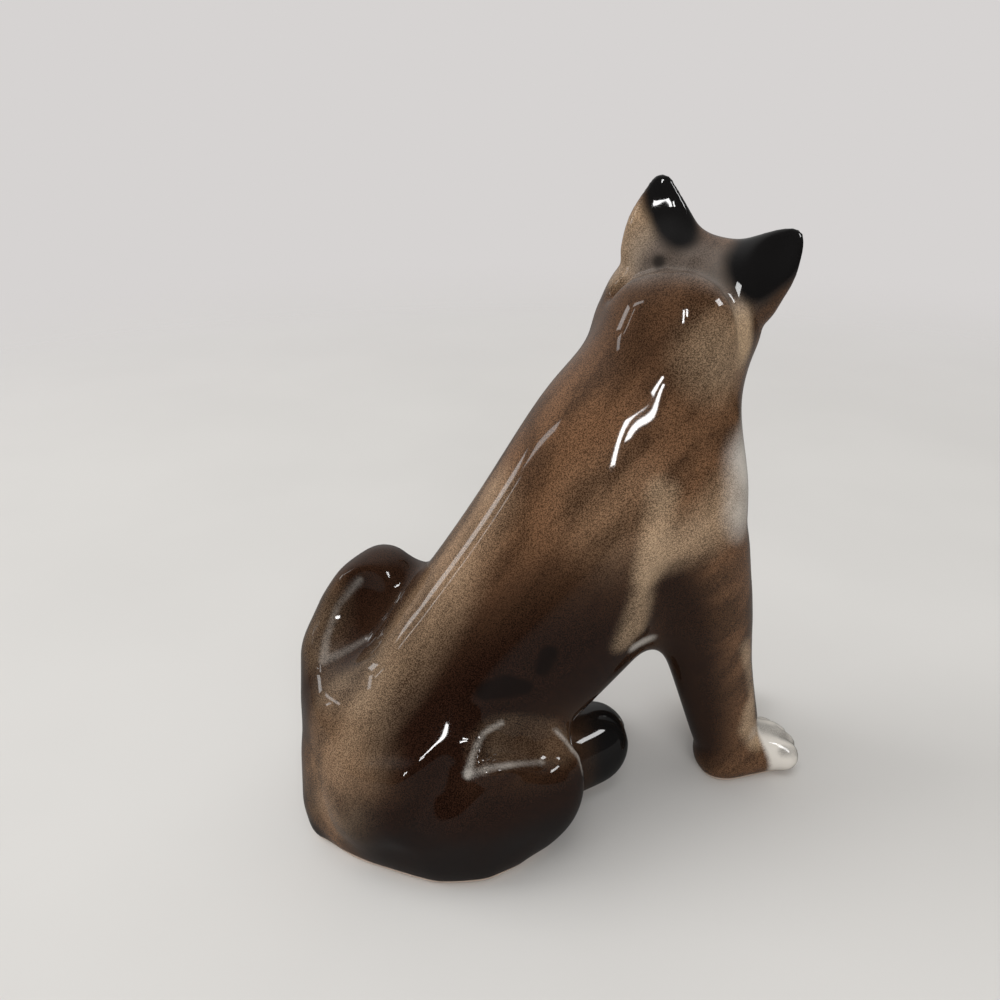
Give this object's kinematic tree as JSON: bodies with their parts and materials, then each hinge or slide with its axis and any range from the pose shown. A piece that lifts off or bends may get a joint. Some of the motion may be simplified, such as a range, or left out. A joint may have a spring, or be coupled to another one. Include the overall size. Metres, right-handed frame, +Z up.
{
  "type": "sitting dog figurine",
  "caption": "Small glossy glazed ceramic figurine of a sitting dog with pricked ears and a docked tail, looking back over its shoulder.",
  "frame": {"origin": "on the table under the middle of the figure's bounding box", "axes": "+X ahead of the dog's body, +Y to the dog's left, +Z up"},
  "size_m": [0.0758, 0.0376, 0.0872],
  "materials": {
    "coat": "glossy clear glaze over a speckled airbrushed brown",
    "shaded_coat": "glossy clear glaze over an airbrushed dark brown",
    "points": "glossy clear glaze over black"
  },
  "bodies": {
    "root": {"torso": "coat", "head": "coat", "left_ear": "points", "right_ear": "points", "left_foreleg": "coat", "right_foreleg": "coat", "left_haunch": "shaded_coat", "right_haunch": "shaded_coat", "left_hind_foot": "points", "right_hind_foot": "points", "tail": "shaded_coat"}
  },
  "joints": []
}
